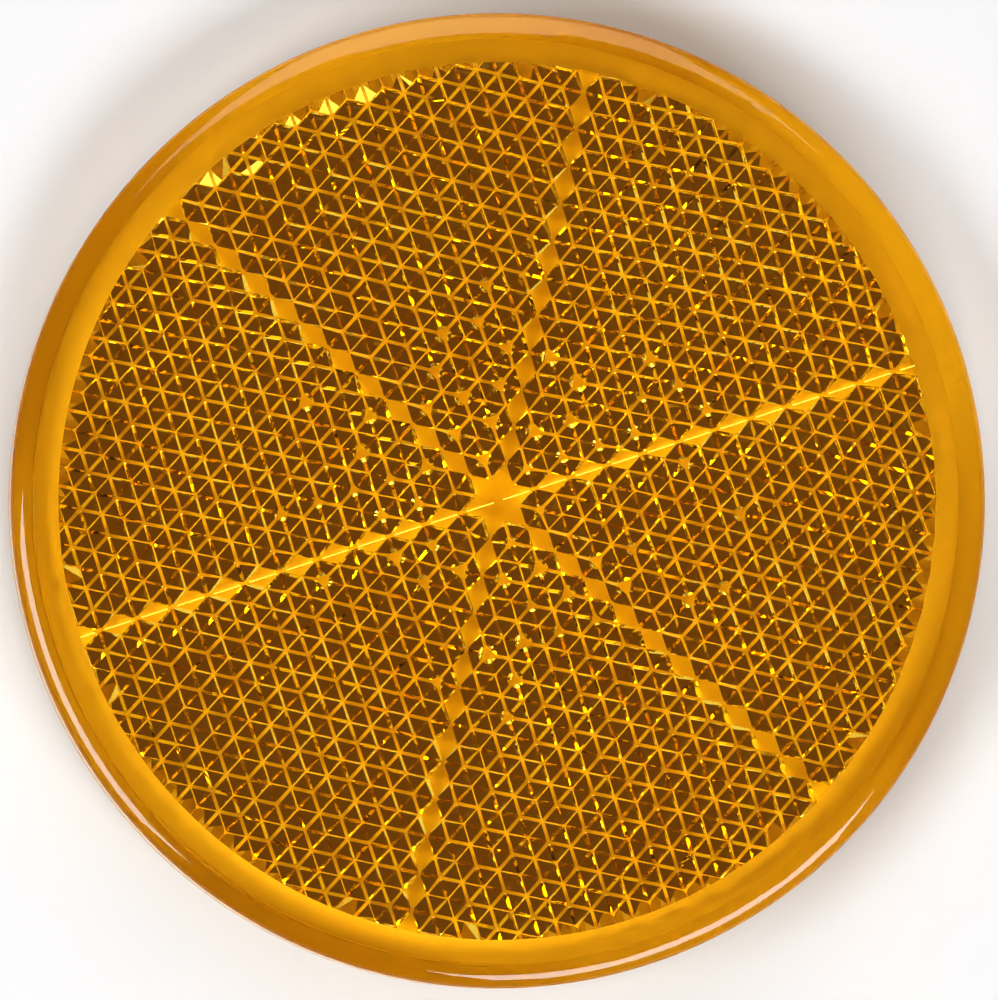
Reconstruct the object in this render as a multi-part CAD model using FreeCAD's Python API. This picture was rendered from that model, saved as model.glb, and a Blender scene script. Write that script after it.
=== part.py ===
# Round self-adhesive reflector: a moulded prismatic lens, a welded back plate, a foam pad and its liner.
import FreeCAD, Part
import math
import os

from BOPTools import SplitAPI
from FreeCAD import Vector

# Driving dimensions, in millimetres and degrees

# Lens
outer_diameter = 60.0
rim_width = 3.05
front_thickness = 1.6
crown_width = 1.35
crown_slope_deg = 42.0
crown_corner_radius = 0.25
wall_draft_deg = 1.0
back_edge_chamfer = 0.3

# Cube-corner prisms, six sectors of hexagonal cells
prism_pitch = 2.336
peak_gap = 0.4
rib_width = 0.3
rib_height = 0.1
rib_steep_share = 0.35
rib_setback = 0.3

# Back plate, welded into a rebate in the lens
seat_width = 1.5
plate_thickness = 1.5
plate_recess = 0.2
plate_clearance = 0.05
plate_edge_chamfer = 0.3

# Foam pad and its release liner
pad_margin = 3.4
pad_thickness = 1.0
liner_thickness = 0.1
liner_overhang = 0.5

# Radii that follow from the driving dimensions

outer_radius = outer_diameter / 2
field_radius = outer_radius - rim_width
rebate_radius = field_radius + seat_width
plate_radius = rebate_radius - plate_clearance
pad_radius = plate_radius - pad_margin
liner_radius = pad_radius + liner_overhang

# A cube standing on its corner: the hexagon across its flats is the pitch
SECTORS = 6
SECTOR_DEG = 360 / SECTORS
PIT, MIDDLE, PEAK = range(3)
corner_reach = prism_pitch / math.sqrt(3)
level_step = prism_pitch / math.sqrt(6)
row_step = prism_pitch * math.cos(math.radians(SECTOR_DEG / 2))

# Heights, from the liner's outer face up to the front of the lens

pad_back = liner_thickness
plate_back = pad_back + pad_thickness
rim_back = plate_back - plate_recess
plate_front = plate_back + plate_thickness
peak_height = plate_front + peak_gap
pit_height = peak_height + PEAK * level_step
lens_front = pit_height + front_thickness


def polar(angle_deg, distance):
    """A point in the plane of the prisms, as a flat vector from the centre."""
    angle = math.radians(angle_deg)
    return Vector(distance * math.cos(angle), distance * math.sin(angle), 0)


def at_level(point, level):
    """The point at the height of a pit, a middle corner or a peak."""
    return Vector(point.x, point.y, pit_height - level * level_step)


def flat_face(corners):
    """A plane face through its corners, in order."""
    return Part.Face(Part.makePolygon(corners + corners[:1]))


def cube_corner(peak, middle_deg):
    """The three square faces of one prism, whose ridges run to the three middle corners."""
    faces = []
    for face in range(SECTORS // 2):
        pit_deg = middle_deg + face * 2 * SECTOR_DEG
        before, pit, after = (
            peak + polar(pit_deg + turn_deg, corner_reach) for turn_deg in (-SECTOR_DEG, 0, SECTOR_DEG)
        )
        middles = at_level(before, MIDDLE), at_level(after, MIDDLE)
        faces.append(flat_face([at_level(peak, PEAK), middles[0], at_level(pit, PIT), middles[1]]))
    return faces


def seam_diamond(spoke_deg, index):
    """One flat diamond of the seam between two sectors, and the upright walls that close it."""
    start = polar(spoke_deg, index * prism_pitch)
    end = polar(spoke_deg, (index + 1) * prism_pitch)
    left, right = (
        start + polar(spoke_deg + side_deg, corner_reach)
        for side_deg in (SECTOR_DEG / 2, -SECTOR_DEG / 2)
    )
    faces = [flat_face([at_level(corner, PIT) for corner in (start, left, end, right)])]
    for corner in (left, right):
        # The diamonds round the centre join in a star, with no wall between them
        for tip in (end, start) if index else (end,):
            wall = [at_level(tip, PIT), at_level(corner, MIDDLE), at_level(corner, PIT)]
            faces.append(flat_face(wall))
    return faces


def prism_sheet():
    """The moulded back of the lens as one sheet that reaches past the edge of the field."""
    rows = math.ceil(field_radius / row_step) + 1
    faces = []
    for sector in range(SECTORS):
        spoke_deg = sector * SECTOR_DEG
        middle_deg = spoke_deg + SECTOR_DEG / 2
        along, across = polar(spoke_deg, prism_pitch), polar(spoke_deg + SECTOR_DEG, prism_pitch)
        first_peak = polar(middle_deg, 2 * corner_reach)
        for row in range(rows):
            faces += seam_diamond(spoke_deg, row)
            for step in range(row + 1):
                faces += cube_corner(first_peak + along * (row - step) + across * step, middle_deg)
    sheet = Part.makeShell(faces)
    sheet.sewShape()
    return sheet


def seam_rib(index):
    """The fine rib under one diamond of the seam along X, with a steep and a gentle side."""
    start = index * prism_pitch + rib_setback
    steep_side = -rib_steep_share * rib_width
    section = [
        Vector(start, steep_side, pit_height),
        Vector(start, 0, pit_height - rib_height),
        Vector(start, steep_side + rib_width, pit_height),
        Vector(start, 0, pit_height + rib_height),
    ]
    return flat_face(section).extrude(Vector(prism_pitch - 2 * rib_setback, 0, 0))


def in_section(radius, height):
    """A point in the half section that is turned about Z."""
    return Vector(radius, 0, height)


def circles_at(solid, radius, height):
    """The round edges of a solid at a radius and a height."""
    near = 1e-6
    return [
        edge
        for edge in solid.Edges
        if isinstance(edge.Curve, Part.Circle)
        and abs(edge.Curve.Radius - radius) < near
        and abs(edge.Curve.Center.z - height) < near
    ]


def lens_blank():
    """The lens with its crowned front edge, drafted wall and plate rebate, before the prisms."""
    slope = math.radians(crown_slope_deg)
    crown_radius = crown_width / math.sin(slope)
    wall_top = lens_front - crown_radius * (1 - math.cos(slope))
    wall_top_radius = outer_radius - (wall_top - rim_back) * math.tan(math.radians(wall_draft_deg))
    flat_radius = wall_top_radius - crown_width
    crown_middle = in_section(
        flat_radius + crown_radius * math.sin(slope / 2),
        lens_front - crown_radius * (1 - math.cos(slope / 2)),
    )
    flat_end = in_section(flat_radius, lens_front)
    crown_end = in_section(wall_top_radius, wall_top)
    rest_of_section = Part.makePolygon(
        [
            crown_end,
            in_section(outer_radius, rim_back),
            in_section(rebate_radius, rim_back),
            in_section(rebate_radius, plate_front),
            in_section(0, plate_front),
            in_section(0, lens_front),
            flat_end,
        ]
    )
    crown = Part.Arc(flat_end, crown_middle, crown_end).toShape()
    section = Part.Face(Part.Wire([crown] + rest_of_section.Edges))
    blank = section.revolve(Vector(0, 0, 0), Vector(0, 0, 1), 360)
    blank = blank.makeFillet(crown_corner_radius, circles_at(blank, wall_top_radius, wall_top))
    return blank.makeChamfer(back_edge_chamfer, circles_at(blank, outer_radius, rim_back))


def air_space():
    """The sealed space behind the prisms, from the plate up to the sheet of prisms and its ribs."""
    top = (pit_height + lens_front) / 2
    core = Part.makeCylinder(field_radius, top - plate_back, Vector(0, 0, plate_back))
    pieces = SplitAPI.slice(core, [prism_sheet()], "Split").Solids
    behind_prisms = min(pieces, key=lambda piece: piece.CenterOfMass.z)
    reach = math.ceil(field_radius / prism_pitch)
    return behind_prisms.cut([seam_rib(index) for index in range(-reach, reach)])


def lens():
    """The amber lens: its blank with the air space behind the prisms cut out."""
    return lens_blank().cut(air_space())


def back_plate():
    """A plain disc that seats on the shoulder of the rebate, with a lead-in at its front edge."""
    plate = Part.makeCylinder(plate_radius, plate_thickness, Vector(0, 0, plate_back))
    return plate.makeChamfer(plate_edge_chamfer, circles_at(plate, plate_radius, plate_front))


def adhesive_pad():
    """The die-cut disc of double-sided foam."""
    return Part.makeCylinder(pad_radius, pad_thickness, Vector(0, 0, pad_back))


def release_liner():
    """The film over the pad's outer adhesive, a little wider so that it can be peeled."""
    return Part.makeCylinder(liner_radius, liner_thickness)


def main():
    os.makedirs("parts", exist_ok=True)
    for make in (lens, back_plate, adhesive_pad, release_liner):
        shape = make()
        shape.exportStep(f"parts/{make.__name__}.step")
        print(
            make.__name__,
            "valid" if shape.isValid() else "not valid",
            f"{len(shape.Solids)} solid, {len(shape.Faces)} faces, {shape.Volume:.1f} mm3",
        )


main()
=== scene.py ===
import math
import random

import bmesh
import bpy
from mathutils import Matrix, Vector


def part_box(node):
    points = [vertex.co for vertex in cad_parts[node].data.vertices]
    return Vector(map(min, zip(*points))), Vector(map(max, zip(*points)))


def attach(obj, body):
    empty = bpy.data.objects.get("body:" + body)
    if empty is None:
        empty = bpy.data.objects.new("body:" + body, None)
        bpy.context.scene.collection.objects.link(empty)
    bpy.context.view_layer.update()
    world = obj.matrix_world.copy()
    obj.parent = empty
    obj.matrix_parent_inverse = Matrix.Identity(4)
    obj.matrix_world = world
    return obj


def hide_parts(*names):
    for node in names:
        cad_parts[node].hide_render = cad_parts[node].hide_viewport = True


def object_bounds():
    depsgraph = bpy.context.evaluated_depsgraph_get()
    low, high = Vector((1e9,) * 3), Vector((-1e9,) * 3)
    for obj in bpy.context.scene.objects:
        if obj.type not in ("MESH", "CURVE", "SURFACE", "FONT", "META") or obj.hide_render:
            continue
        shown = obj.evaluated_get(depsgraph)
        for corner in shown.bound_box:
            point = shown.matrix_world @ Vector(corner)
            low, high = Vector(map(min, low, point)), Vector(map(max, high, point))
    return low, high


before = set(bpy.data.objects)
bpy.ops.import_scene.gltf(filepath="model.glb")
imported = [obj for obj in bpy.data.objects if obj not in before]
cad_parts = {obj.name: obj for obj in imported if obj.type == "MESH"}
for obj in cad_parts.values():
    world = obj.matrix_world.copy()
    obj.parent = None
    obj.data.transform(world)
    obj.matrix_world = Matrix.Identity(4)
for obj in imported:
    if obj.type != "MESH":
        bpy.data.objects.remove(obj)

bl_info = {
    "name": "Self-adhesive reflector",
    "version": (1, 0, 0),
    "blender": (4, 5, 0),
    "location": "View3D > Sidebar > Reflector",
    "description": "Dresses the packed reflector with its lens, plate, foam pad and liner, and a plain studio",
    "category": "Object",
}

MILLIMETRE = 0.001
MERGE_DISTANCE = 1e-7

BODY = "root"
CAD_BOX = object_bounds()
LENS_LOW, LENS_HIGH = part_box("lens")
PLATE_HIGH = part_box("back_plate")[1]
PAD_LOW, PAD_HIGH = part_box("adhesive_pad")
LINER_LOW, LINER_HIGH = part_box("release_liner")

# A cube that stands on its corner has every face turned this far from the Z axis
CUBE_FACE_COSINE = 1 / math.sqrt(3)
# A flat face of the lens or of a disc looks along Z at least this closely
FLAT_COSINE = 0.9999
# Edges between two cube faces, by the sign of their angle
RIDGE, VALLEY = 1, -1

# The lens's two materials, by their place in its mesh
AMBER, WELD = range(2)
ACRYLIC_IOR = 1.49

# Worn tips have lost one of these shares of the largest size, drawn from a fixed seed
WORN_SHARES = (1.0, 0.9, 0.8, 0.7)
WEAR_SEED = 7

DISC_SEGMENTS = 192

# The photograph, in pixels: its height, the reflector's radius in it, and the turn of the seam along +X
PHOTO_HEIGHT_PX = 1000
PHOTO_RADIUS_PX = 489.7
PHOTO_TURN_DEG = 18.1

# The room is pale up to the first sine of elevation and dim from the second
WALL_TOP_SINE, CEILING_SINE = 0.1, 0.25


class Value:
    """A shader socket in an expression: each operator adds a Math node."""

    def __init__(self, tree, socket):
        self.tree = tree
        self.socket = socket

    def math(self, operation, other):
        return self.tree.add("Math", {"operation": operation}, {0: self, 1: other})

    def __add__(self, other):
        return self.math("ADD", other)

    def __mul__(self, other):
        return self.math("MULTIPLY", other)

    __radd__ = __add__
    __rmul__ = __mul__


class ShaderTree:
    """The node tree of a material or a world, built node by node."""

    def __init__(self, owner):
        owner.use_nodes = True
        self.nodes = owner.node_tree.nodes
        self.links = owner.node_tree.links
        self.nodes.clear()

    def add(self, kind, settings=(), sockets=(), output=0):
        """Adds a node, sets its settings first, then its sockets, and returns one of its outputs."""
        node = self.nodes.new("ShaderNode" + kind)
        for name, setting in dict(settings).items():
            setattr(node, name, setting)
        for name, value in dict(sockets).items():
            if isinstance(value, Value):
                self.links.new(value.socket, node.inputs[name])
            else:
                node.inputs[name].default_value = value
        return Value(self, node.outputs[output]) if node.outputs else None

    def mix_colour(self, factor, first, second):
        """The first colour, which turns into the second as the factor goes from 0 to 1."""
        first, second = (
            colour if isinstance(colour, Value) else (*colour, 1) for colour in (first, second)
        )
        # The Mix node repeats its socket names for each type of data, so colours go by number
        return self.add("Mix", {"data_type": "RGBA"}, {"Factor": factor, 6: first, 7: second}, output=2)

    def noise(self, place, per_millimetre, detail):
        """Soft noise with about so many spots in each millimetre."""
        sockets = {"Vector": place, "Scale": per_millimetre / MILLIMETRE, "Detail": detail}
        return self.add("TexNoise", sockets=sockets)

    def bump(self, height, strength, depth):
        return self.add("Bump", sockets={"Height": height, "Strength": strength, "Distance": depth})

    def finish(self, sockets):
        """Closes a material with one Principled surface."""
        surface = self.add("BsdfPrincipled", sockets=sockets)
        self.add("OutputMaterial", sockets={"Surface": surface})


def new_material(name):
    material = bpy.data.materials.new(name)
    return material, ShaderTree(material)


def darker(colour, share):
    return [share * part for part in colour]


def new_object(mesh, name, *materials):
    """Makes an object of a bmesh and puts it in the scene."""
    data = bpy.data.meshes.new(name)
    mesh.to_mesh(data)
    mesh.free()
    for material in materials:
        data.materials.append(material)
    made = bpy.data.objects.new(name, data)
    bpy.context.scene.collection.objects.link(made)
    return made


def dress(piece, node):
    """Rides a piece on the body and lets it stand for its CAD node."""
    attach(piece, BODY)
    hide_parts(node)


class LensSettings(bpy.types.PropertyGroup):
    ridge_width: bpy.props.FloatProperty(
        name="Ridge width", description="Width of the blunt ridges of the prisms",
        default=0.205 * MILLIMETRE, unit="LENGTH", precision=5,
    )
    valley_width: bpy.props.FloatProperty(
        name="Valley width", description="Width of the filled valleys between the prisms",
        default=0.08 * MILLIMETRE, unit="LENGTH", precision=5,
    )
    tip_size: bpy.props.FloatProperty(
        name="Tip size", description="Largest length of ridge that a worn prism tip has lost",
        default=0.78 * MILLIMETRE, unit="LENGTH", precision=5,
    )
    pit_size: bpy.props.FloatProperty(
        name="Pit size", description="Length of valley that the fillet in a pit of the prisms fills",
        default=0.26 * MILLIMETRE, unit="LENGTH", precision=5,
    )
    wear_reach: bpy.props.FloatProperty(
        name="Wear reach", description="Radius of the middle part where prism tips are worn",
        default=16 * MILLIMETRE, unit="LENGTH", precision=5,
    )
    weld_gap: bpy.props.FloatProperty(
        name="Weld gap", description="Air between the lens's shoulder and the plate",
        default=0.02 * MILLIMETRE, unit="LENGTH", precision=5,
    )
    tint: bpy.props.FloatVectorProperty(
        name="Tint", description="Tint that light takes on going through the amber surface",
        default=(1.0, 0.7, 0.06), subtype="COLOR", size=3, min=0, max=1,
    )
    weld_colour: bpy.props.FloatVectorProperty(
        name="Weld", description="Colour of the matt shoulder that is welded to the plate",
        default=(0.7, 0.48, 0.05), subtype="COLOR", size=3, min=0, max=1,
    )
    frost_colour: bpy.props.FloatVectorProperty(
        name="Frost", description="Colour of the frosted back of the rim, seen through the lens",
        default=(1.0, 0.8, 0.12), subtype="COLOR", size=3, min=0, max=1,
    )
    rim_back_colour: bpy.props.FloatVectorProperty(
        name="Rim back", description="Colour of the frosted back of the rim, seen from behind",
        default=(0.9, 0.42, 0.02), subtype="COLOR", size=3, min=0, max=1,
    )


class BackingSettings(bpy.types.PropertyGroup):
    foam_edge: bpy.props.FloatProperty(
        name="Foam edge", description="Round of the foam pad's edges",
        default=0.06 * MILLIMETRE, unit="LENGTH", precision=5,
    )
    liner_edge: bpy.props.FloatProperty(
        name="Liner edge", description="Round of the liner's edges",
        default=0.02 * MILLIMETRE, unit="LENGTH", precision=5,
    )
    plate_colour: bpy.props.FloatVectorProperty(
        name="Plate", description="Colour of the back plate",
        default=(0.95, 0.945, 0.92), subtype="COLOR", size=3, min=0, max=1,
    )
    foam_colour: bpy.props.FloatVectorProperty(
        name="Foam", description="Colour of the foam pad",
        default=(0.8, 0.8, 0.78), subtype="COLOR", size=3, min=0, max=1,
    )
    liner_colour: bpy.props.FloatVectorProperty(
        name="Liner", description="Colour of the release liner",
        default=(0.82, 0.76, 0.6), subtype="COLOR", size=3, min=0, max=1,
    )


class StageSettings(bpy.types.PropertyGroup):
    camera_distance: bpy.props.FloatProperty(
        name="Camera distance", description="From the camera to the reflector",
        default=0.8, unit="LENGTH",
    )
    camera_tilt: bpy.props.FloatProperty(
        name="Camera tilt", description="Lean of the view from straight down",
        default=math.radians(3), subtype="ANGLE",
    )
    camera_lean: bpy.props.FloatProperty(
        name="Camera lean", description="Direction in the picture that the camera leans to",
        default=math.radians(209), subtype="ANGLE",
    )
    lamp_distance: bpy.props.FloatProperty(
        name="Lamp distance", description="From the light boxes to the reflector",
        default=1.0, unit="LENGTH",
    )
    floor_radius: bpy.props.FloatProperty(
        name="Floor radius", description="Radius of the round floor", default=0.8, unit="LENGTH",
    )
    floor_colour: bpy.props.FloatVectorProperty(
        name="Floor", description="Colour of the floor",
        default=(0.76, 0.81, 0.845), subtype="COLOR", size=3, min=0, max=1,
    )
    wall_colour: bpy.props.FloatVectorProperty(
        name="Walls", description="Colour of the room behind the floor",
        default=(0.95, 0.95, 0.95), subtype="COLOR", size=3, min=0, max=1,
    )
    ceiling_colour: bpy.props.FloatVectorProperty(
        name="Ceiling", description="Colour of the dim room overhead, which the prisms send back",
        default=(0.14, 0.063, 0.028), subtype="COLOR", size=3, min=0, max=1,
    )


def merged_copy(node):
    """A copy of a CAD node's mesh with its triangles joined and its flat faces whole again."""
    mesh = bmesh.new()
    mesh.from_mesh(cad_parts[node].data)
    bmesh.ops.remove_doubles(mesh, verts=mesh.verts, dist=MERGE_DISTANCE)
    bmesh.ops.dissolve_limit(
        mesh, angle_limit=math.radians(0.2), verts=mesh.verts, edges=mesh.edges,
    )
    mesh.normal_update()
    return mesh


def is_prism_face(face):
    return abs(face.normal.z + CUBE_FACE_COSINE) < 0.01


def is_flat(face):
    return abs(face.normal.z) > FLAT_COSINE


def is_turned(face):
    """True for a face of the rim that follows the round of the lens."""
    return not is_flat(face) and face.calc_center_median().xy.length > PLATE_HIGH.x


def is_rim_back(face):
    """True for the back of the rim, up to the shoulder that is welded to the plate."""
    return face.calc_center_median().z < PLATE_HIGH.z + MERGE_DISTANCE


def verts_at(mesh, height):
    return [vert for vert in mesh.verts if abs(vert.co.z - height) < MERGE_DISTANCE]


def cube_edges(mesh, kind):
    """The ridges or the valleys between two cube faces."""
    return [
        edge
        for edge in mesh.edges
        if len(edge.link_faces) == 2
        and all(is_prism_face(face) for face in edge.link_faces)
        and kind * edge.calc_face_angle_signed() > math.radians(30)
    ]


def blunt(mesh, edges, width):
    """Cuts edges flat to a width."""
    bmesh.ops.bevel(
        mesh, geom=edges, offset=width, offset_type="WIDTH", segments=1, profile=0.5,
        affect="EDGES", clamp_overlap=False, material=-1,
    )


def cut_corners(mesh, corners, length):
    """Cuts corners flat, each by a length along its edges."""
    bmesh.ops.bevel(
        mesh, geom=corners, offset=length, segments=1, profile=0.5,
        affect="VERTICES", clamp_overlap=False, material=-1,
    )


def wear_tips(mesh, tip_height, largest, reach):
    """Cuts some tips of the prisms flat, more of them near the centre and none past the reach."""
    wear = random.Random(WEAR_SEED)
    tips = verts_at(mesh, tip_height)
    tips.sort(key=lambda vert: (round(vert.co.x, 6), round(vert.co.y, 6)))
    worn = {share: [] for share in WORN_SHARES}
    for tip in tips:
        if wear.random() > tip.co.xy.length / reach:
            worn[wear.choice(WORN_SHARES)].append(tip)
    for share, corners in worn.items():
        cut_corners(mesh, corners, share * largest)


def fill_pits(mesh, pit_height, size):
    """Fills the pits of the prisms a little way up their valleys."""
    pits = [
        vert
        for vert in verts_at(mesh, pit_height)
        if sum(is_prism_face(face) for face in vert.link_faces) > 1
    ]
    cut_corners(mesh, pits, size)


def shade_by_angle(mesh, faces, sharp_deg):
    """Smooths some faces, with sharp edges past an angle and around flat faces."""
    for face in faces:
        face.smooth = True
    for edge in mesh.edges:
        beside_flat = any(is_flat(face) for face in edge.link_faces)
        edge.smooth = not beside_flat and edge.calc_face_angle(0) < math.radians(sharp_deg)


def turned_disc(low, high, edge_round):
    """A disc between two heights with lightly rounded edges."""
    mesh = bmesh.new()
    radius = (high.x - low.x) / 2
    bmesh.ops.create_circle(
        mesh, cap_ends=True, radius=radius, segments=DISC_SEGMENTS,
        matrix=Matrix.Translation((0, 0, low.z)),
    )
    grown = bmesh.ops.extrude_face_region(mesh, geom=mesh.faces[:])
    top = [part for part in grown["geom"] if isinstance(part, bmesh.types.BMVert)]
    bmesh.ops.translate(mesh, verts=top, vec=(0, 0, high.z - low.z))
    bmesh.ops.recalc_face_normals(mesh, faces=mesh.faces)
    rims = [edge for edge in mesh.edges if edge.verts[0].co.z == edge.verts[1].co.z]
    bmesh.ops.bevel(
        mesh, geom=rims, offset=edge_round, segments=2, profile=0.5, affect="EDGES", material=-1
    )
    shade_by_angle(mesh, mesh.faces, 50)
    return mesh


def amber_material(settings):
    """Clear amber acrylic, a little deeper in colour along the lines in which it flowed."""
    material, tree = new_material("amber_acrylic")
    place = tree.add("TexCoord", output="Object")
    flow = tree.noise(place, 0.14, 0.0)
    deeper = [part * part for part in settings.tint]
    tree.finish(
        {
            "Base Color": tree.mix_colour(0.3 * flow, settings.tint, deeper),
            "Roughness": 0.0,
            "IOR": ACRYLIC_IOR,
            "Transmission Weight": 1.0,
        }
    )
    return material


def weld_material(settings):
    """The matt back of the rim: frosted, and deeper in colour where it was melted onto the plate."""
    material, tree = new_material("welded_amber")
    place = tree.add("TexCoord", output="Object")
    height = tree.add("SeparateXYZ", sockets={"Vector": place}, output="Z")
    melted = tree.add(
        "MapRange", sockets={"Value": height, "From Min": LENS_LOW.z, "From Max": PLATE_HIGH.z}
    )
    through_lens = tree.add("NewGeometry", output="Backfacing")
    frost = tree.mix_colour(through_lens, settings.rim_back_colour, settings.frost_colour)
    ripple = tree.noise(place, 0.4, 3.0)
    weld = tree.mix_colour(ripple, darker(settings.weld_colour, 0.9), settings.weld_colour)
    tree.finish(
        {
            "Base Color": tree.mix_colour(melted, frost, weld),
            "Roughness": 0.5 + 0.2 * ripple,
            "Normal": tree.bump(ripple, 0.2, 0.05 * MILLIMETRE),
        }
    )
    return material


def plate_material(settings):
    """Fine matt moulded plastic."""
    material, tree = new_material("matt_plate")
    place = tree.add("TexCoord", output="Object")
    grain = tree.noise(place, 2.5, 3.0)
    cloud = tree.noise(place, 0.06, 2.0)
    tree.finish(
        {
            "Base Color": tree.mix_colour(cloud, darker(settings.plate_colour, 0.94), settings.plate_colour),
            "Roughness": 0.45 + 0.2 * grain,
            "Normal": tree.bump(grain, 0.15, 0.05 * MILLIMETRE),
        }
    )
    return material


def foam_material(settings):
    """Closed-cell foam with its cells cut open at the edge, and painted shade in the pits of the open cells.
    """
    material, tree = new_material("closed_cell_foam")
    place = tree.add("TexCoord", output="Object")
    cells = tree.add(
        "TexVoronoi", {"feature": "F1"}, {"Vector": place, "Scale": 5 / MILLIMETRE}, output="Distance"
    )
    tree.finish(
        {
            # Each cut cell is painted darker towards its middle: painted shade in the pit that the bump sinks
            # there
            "Base Color": tree.mix_colour(cells, darker(settings.foam_colour, 0.72), settings.foam_colour),
            "Roughness": 0.85,
            "Normal": tree.bump(cells, 0.5, 0.08 * MILLIMETRE),
        }
    )
    return material


def liner_material(settings):
    """Siliconised paper with a faint fibre and a slight sheen."""
    material, tree = new_material("liner_paper")
    place = tree.add("TexCoord", output="Object")
    stretched = tree.add("Mapping", sockets={"Vector": place, "Scale": (1.0, 0.35, 1.0)})
    fibre = tree.add(
        "TexNoise",
        sockets={"Vector": stretched, "Scale": 1.8 / MILLIMETRE, "Detail": 5.0, "Roughness": 0.65},
    )
    cloud = tree.noise(place, 0.12, 3.0)
    dark = darker(settings.liner_colour, 0.86)
    tree.finish(
        {
            "Base Color": tree.mix_colour(0.5 * fibre + 0.5 * cloud, dark, settings.liner_colour),
            "Roughness": 0.35 + 0.2 * fibre,
            "Normal": tree.bump(fibre, 0.2, 0.03 * MILLIMETRE),
        }
    )
    return material


class REFLECTOR_OT_lens(bpy.types.Operator):
    """Adds the amber lens with the blunt ridges of its prisms"""

    bl_idname = "reflector.lens"
    bl_label = "Lens"

    def execute(self, context):
        settings = context.scene.reflector_lens
        mesh = merged_copy("lens")
        heights = [vert.co.z for face in mesh.faces if is_prism_face(face) for vert in face.verts]
        if not heights:
            raise RuntimeError("the lens has no prisms")
        turned = [face for face in mesh.faces if is_turned(face)]
        for face in mesh.faces:
            face.material_index = WELD if is_rim_back(face) else AMBER
        wear_tips(mesh, min(heights), settings.tip_size, settings.wear_reach)
        fill_pits(mesh, max(heights), settings.pit_size)
        blunt(mesh, cube_edges(mesh, RIDGE), settings.ridge_width)
        blunt(mesh, cube_edges(mesh, VALLEY), settings.valley_width)
        bmesh.ops.translate(mesh, verts=verts_at(mesh, PLATE_HIGH.z), vec=(0, 0, settings.weld_gap))
        mesh.normal_update()
        shade_by_angle(mesh, turned, 25)
        piece = new_object(mesh, "prism_lens", amber_material(settings), weld_material(settings))
        dress(piece, "lens")
        return {"FINISHED"}


class REFLECTOR_OT_plate(bpy.types.Operator):
    """Gives the back plate its matt finish"""

    bl_idname = "reflector.plate"
    bl_label = "Back plate"

    def execute(self, context):
        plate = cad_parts["back_plate"]
        plate.data.materials.clear()
        plate.data.materials.append(plate_material(context.scene.reflector_backing))
        return {"FINISHED"}


class REFLECTOR_OT_pad(bpy.types.Operator):
    """Adds the foam pad"""

    bl_idname = "reflector.pad"
    bl_label = "Foam pad"

    def execute(self, context):
        settings = context.scene.reflector_backing
        mesh = turned_disc(PAD_LOW, PAD_HIGH, settings.foam_edge)
        dress(new_object(mesh, "foam_pad", foam_material(settings)), "adhesive_pad")
        return {"FINISHED"}


class REFLECTOR_OT_liner(bpy.types.Operator):
    """Adds the release liner"""

    bl_idname = "reflector.liner"
    bl_label = "Release liner"

    def execute(self, context):
        settings = context.scene.reflector_backing
        mesh = turned_disc(LINER_LOW, LINER_HIGH, settings.liner_edge)
        dress(new_object(mesh, "peel_liner", liner_material(settings)), "release_liner")
        return {"FINISHED"}


def on_dome(azimuth, elevation, distance):
    """A point round the reflector by its direction in the picture and its height above the floor."""
    turned = azimuth - math.radians(PHOTO_TURN_DEG)
    flat = distance * math.cos(elevation)
    return Vector((flat * math.cos(turned), flat * math.sin(turned), distance * math.sin(elevation)))


def add_light_box(name, distance, azimuth_deg, elevation_deg, width, height, radiance):
    """A soft box that faces the reflector."""
    light = bpy.data.lights.new(name, "AREA")
    light.shape = "RECTANGLE"
    light.size = width
    light.size_y = height
    light.energy = radiance * width * height * math.pi
    lamp = bpy.data.objects.new(name, light)
    bpy.context.scene.collection.objects.link(lamp)
    lamp.location = on_dome(math.radians(azimuth_deg), math.radians(elevation_deg), distance)
    lamp.rotation_euler = (-lamp.location).to_track_quat("-Z", "Y").to_euler()
    lamp.visible_camera = False


def add_floor(settings):
    """A round paper floor just under the reflector."""
    material, tree = new_material("floor_paper")
    tree.finish({"Base Color": (*settings.floor_colour, 1), "Roughness": 0.9})
    mesh = bmesh.new()
    bmesh.ops.create_circle(
        mesh, cap_ends=True, radius=settings.floor_radius, segments=64,
        matrix=Matrix.Translation((0, 0, CAD_BOX[0].z - 0.01 * MILLIMETRE)),
    )
    new_object(mesh, "floor", material)


def add_world(settings):
    """A room that is pale behind the floor and dim overhead."""
    world = bpy.data.worlds.new("studio")
    bpy.context.scene.world = world
    tree = ShaderTree(world)
    direction = tree.add("TexCoord", output="Generated")
    rise = tree.add("SeparateXYZ", sockets={"Vector": direction}, output="Z")
    overhead = tree.add(
        "MapRange", sockets={"Value": rise, "From Min": WALL_TOP_SINE, "From Max": CEILING_SINE}
    )
    colour = tree.mix_colour(overhead, settings.wall_colour, settings.ceiling_colour)
    background = tree.add("Background", sockets={"Color": colour})
    tree.add("OutputWorld", sockets={"Surface": background})


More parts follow.
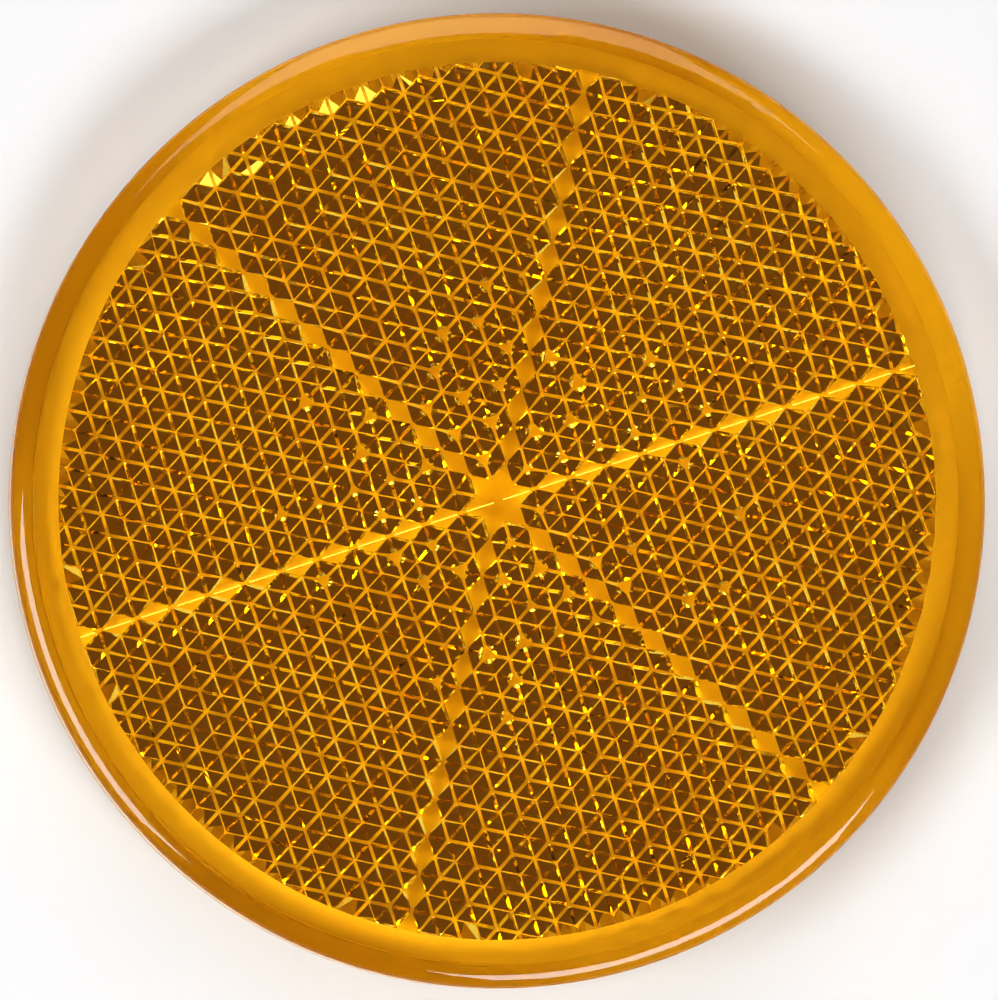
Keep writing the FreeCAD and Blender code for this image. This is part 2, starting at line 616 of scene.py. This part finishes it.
def add_camera(settings):
    """A long lens almost straight above, turned as the photograph is."""
    turn = math.radians(PHOTO_TURN_DEG)
    picture_up = Vector((math.sin(turn), math.cos(turn), 0))
    target = Vector((0, 0, LENS_HIGH.z))
    away = on_dome(settings.camera_lean, math.pi / 2 - settings.camera_tilt, 1.0)
    across = picture_up.cross(away).normalized()
    up = away.cross(across)
    data = bpy.data.cameras.new("camera")
    data.sensor_fit = "VERTICAL"
    radius = (LENS_HIGH.x - LENS_LOW.x) / 2
    view_height = radius * PHOTO_HEIGHT_PX / PHOTO_RADIUS_PX
    data.lens = data.sensor_height * settings.camera_distance / view_height
    data.clip_start = 0.01
    camera = bpy.data.objects.new("camera", data)
    bpy.context.scene.collection.objects.link(camera)
    turned = Matrix((across, up, away)).transposed().to_4x4()
    camera.matrix_world = Matrix.Translation(target + away * settings.camera_distance) @ turned
    bpy.context.scene.camera = camera


class REFLECTOR_OT_stage(bpy.types.Operator):
    """Adds the floor, the light boxes, the room and the camera"""

    bl_idname = "reflector.stage"
    bl_label = "Stage"

    def execute(self, context):
        scene = context.scene
        settings = scene.reflector_stage
        add_floor(settings)
        add_world(settings)
        distance = settings.lamp_distance
        add_light_box(
            "left_box", distance, azimuth_deg=203.5, elevation_deg=49, width=0.55, height=0.34, radiance=9.0
        )
        add_light_box(
            "right_box", distance, azimuth_deg=296, elevation_deg=49, width=0.64, height=0.34, radiance=9.5
        )
        add_light_box(
            "back_box", distance, azimuth_deg=90, elevation_deg=43, width=0.8, height=1.0, radiance=1.9
        )
        add_camera(settings)
        scene.view_settings.view_transform = "Standard"
        # Light is sent on by many prism faces before it leaves the lens, and none of them blurs it
        scene.cycles.max_bounces = 12
        scene.cycles.glossy_bounces = 8
        scene.cycles.transmission_bounces = 12
        scene.cycles.blur_glossy = 0
        # The long thin triangles of the lens's flat front are split, which renders faster
        scene.cycles.debug_use_spatial_splits = True
        return {"FINISHED"}


OPERATORS = (
    REFLECTOR_OT_lens,
    REFLECTOR_OT_plate,
    REFLECTOR_OT_pad,
    REFLECTOR_OT_liner,
    REFLECTOR_OT_stage,
)

SETTINGS = {
    "reflector_lens": LensSettings,
    "reflector_backing": BackingSettings,
    "reflector_stage": StageSettings,
}


class REFLECTOR_PT_sidebar(bpy.types.Panel):
    """Lists the steps that dress the reflector, with their sizes and colours"""

    bl_idname = "REFLECTOR_PT_sidebar"
    bl_label = "Self-adhesive reflector"
    bl_space_type = "VIEW_3D"
    bl_region_type = "UI"
    bl_category = "Reflector"

    def draw(self, context):
        for operator in OPERATORS:
            self.layout.operator(operator.bl_idname)
        for name, group in SETTINGS.items():
            for setting in group.__annotations__:
                self.layout.prop(getattr(context.scene, name), setting)


CLASSES = (*SETTINGS.values(), *OPERATORS, REFLECTOR_PT_sidebar)


def register():
    for item in CLASSES:
        bpy.utils.register_class(item)
    for name, group in SETTINGS.items():
        setattr(bpy.types.Scene, name, bpy.props.PointerProperty(type=group))


def unregister():
    for name in SETTINGS:
        delattr(bpy.types.Scene, name)
    for item in reversed(CLASSES):
        bpy.utils.unregister_class(item)


def main():
    register()
    bpy.ops.reflector.lens()
    bpy.ops.reflector.plate()
    bpy.ops.reflector.pad()
    bpy.ops.reflector.liner()
    bpy.ops.reflector.stage()


if __name__ == "__main__":
    main()
